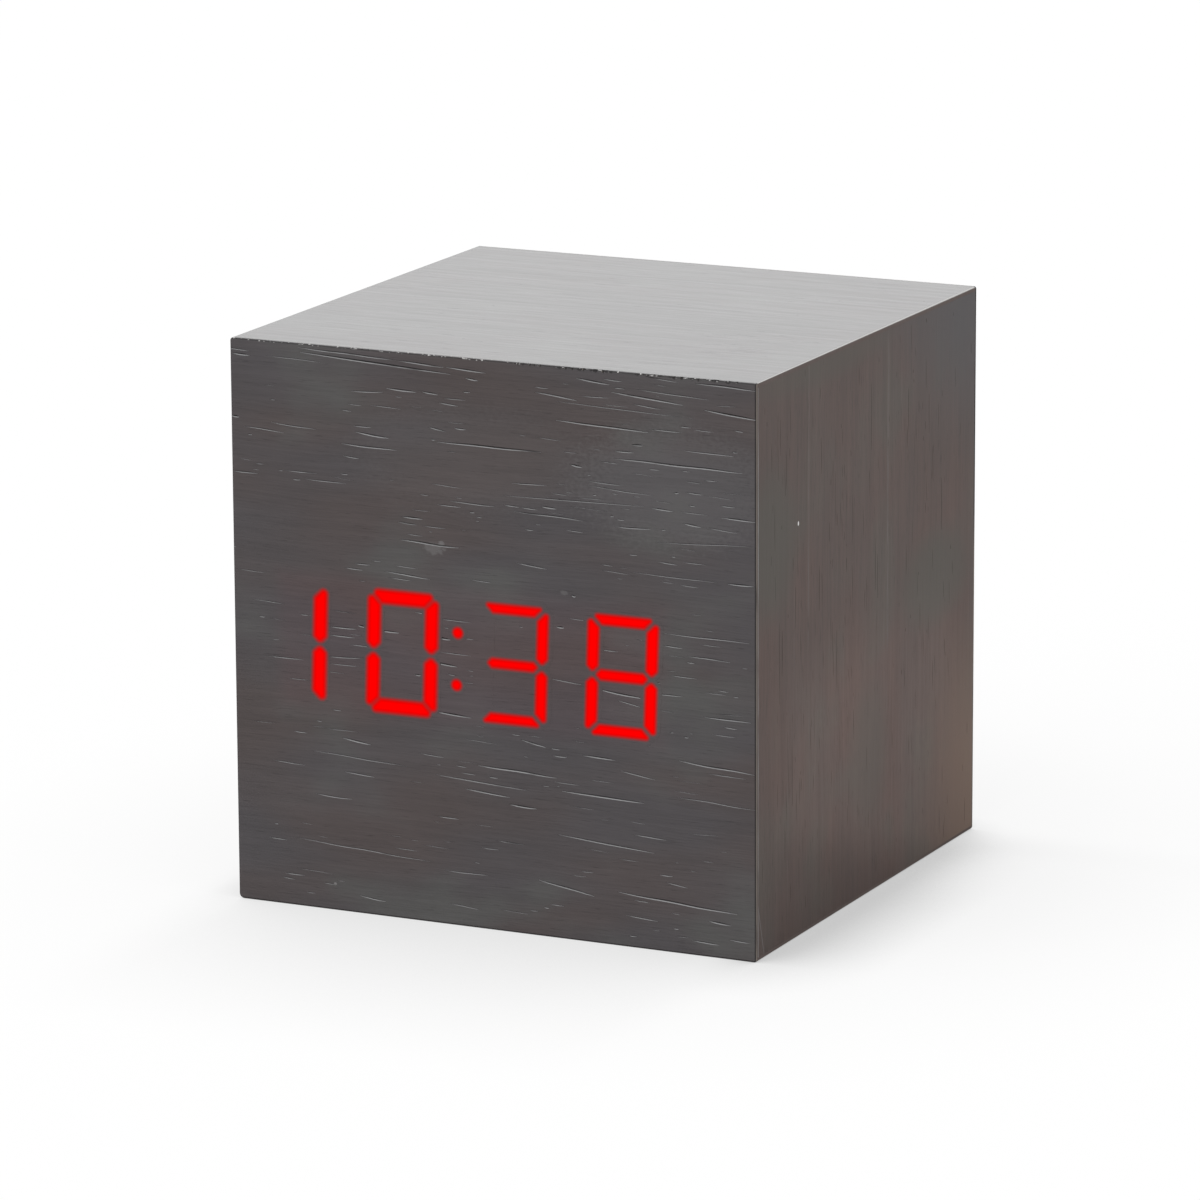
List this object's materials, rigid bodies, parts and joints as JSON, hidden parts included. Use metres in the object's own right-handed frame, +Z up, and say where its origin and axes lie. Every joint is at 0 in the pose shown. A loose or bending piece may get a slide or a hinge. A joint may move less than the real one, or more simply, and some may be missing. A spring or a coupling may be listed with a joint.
{
  "type": "cube alarm clock",
  "caption": "Wood-skinned cube alarm clock whose red segment digits shine through the front, with a battery bay, buttons and a power socket in its back.",
  "frame": {"origin": "middle of the base, on the surface that the clock stands on", "axes": "+X to the right as seen from the front, +Y from the front to the back, +Z up"},
  "size_m": [0.0624, 0.0604, 0.063],
  "materials": {
    "dark_wood": "satin, open pored",
    "fibreboard": "raw",
    "white_plastic": "satin",
    "lit_resin": "lit from behind",
    "black_plastic": "fine grain",
    "grey_plastic": "matt",
    "circuit_board": "solder mask",
    "steel": "zinc plated",
    "bright_metal": "nickel plated",
    "cell_sleeve": "gloss sleeve",
    "red_wire": "satin",
    "black_wire": "satin",
    "grey_cable": "satin"
  },
  "bodies": {
    "root": {"base_skin": "dark_wood", "battery_cell_lower": "cell_sleeve", "battery_cell_middle": "cell_sleeve", "battery_cell_upper": "cell_sleeve", "battery_wire_negative": "black_wire", "battery_wire_positive": "red_wire", "button_board": "circuit_board", "button_board_screw_left": "steel", "button_board_screw_right": "steel", "button_cable": "grey_cable", "buzzer": "black_plastic", "capacitor": "cell_sleeve", "case_shell": "fibreboard", "coin_cell": "steel", "coin_cell_clip": "bright_metal", "coin_cell_holder": "black_plastic", "colon_resin": "lit_resin", "contact_link_left": "bright_metal", "contact_link_right": "bright_metal", "contact_negative": "bright_metal", "contact_positive": "bright_metal", "control_board": "circuit_board", "control_screw_lower": "steel", "control_screw_upper": "steel", "controller_chip": "grey_plastic", "cover_screw_left": "steel", "cover_screw_right": "steel", "crystal": "steel", "display_board": "circuit_board", "display_cable": "grey_cable", "display_driver": "grey_plastic", "display_housing": "white_plastic", "display_screw_lower": "steel", "display_screw_upper": "steel", "front_skin": "dark_wood", "hour_tens_resin": "lit_resin", "hour_units_resin": "lit_resin", "left_skin": "dark_wood", "microphone": "bright_metal", "minute_tens_resin": "lit_resin", "minute_units_resin": "lit_resin", "power_socket_shell": "bright_metal", "power_socket_tongue": "black_plastic", "rear_cover": "black_plastic", "rear_rim_skin": "dark_wood", "right_skin": "dark_wood", "spring_lower": "bright_metal", "spring_middle": "bright_metal", "spring_upper": "bright_metal", "switch_down": "grey_plastic", "switch_set": "grey_plastic", "switch_up": "grey_plastic", "top_skin": "dark_wood"},
    "set_button": {"button_set": "black_plastic", "plunger_set": "white_plastic"},
    "up_button": {"button_up": "black_plastic", "plunger_up": "white_plastic"},
    "down_button": {"button_down": "black_plastic", "plunger_down": "white_plastic"},
    "battery_door": {"battery_door": "black_plastic"}
  },
  "joints": [
    {"name": "set_button_press", "type": "slide", "parent": "root", "child": "set_button", "axis": [0, -1, 0], "range_m": [0, 0.0005], "stiffness_N_per_m": 1500},
    {"name": "up_button_press", "type": "slide", "parent": "root", "child": "up_button", "axis": [0, -1, 0], "range_m": [0, 0.0005], "stiffness_N_per_m": 1500},
    {"name": "down_button_press", "type": "slide", "parent": "root", "child": "down_button", "axis": [0, -1, 0], "range_m": [0, 0.0005], "stiffness_N_per_m": 1500},
    {"name": "battery_door_tilt", "type": "hinge", "parent": "root", "child": "battery_door", "pos_m": [0, 0.02945, 0.0079], "axis": [-1, 0, 0], "range_deg": [0, 35]}
  ]
}
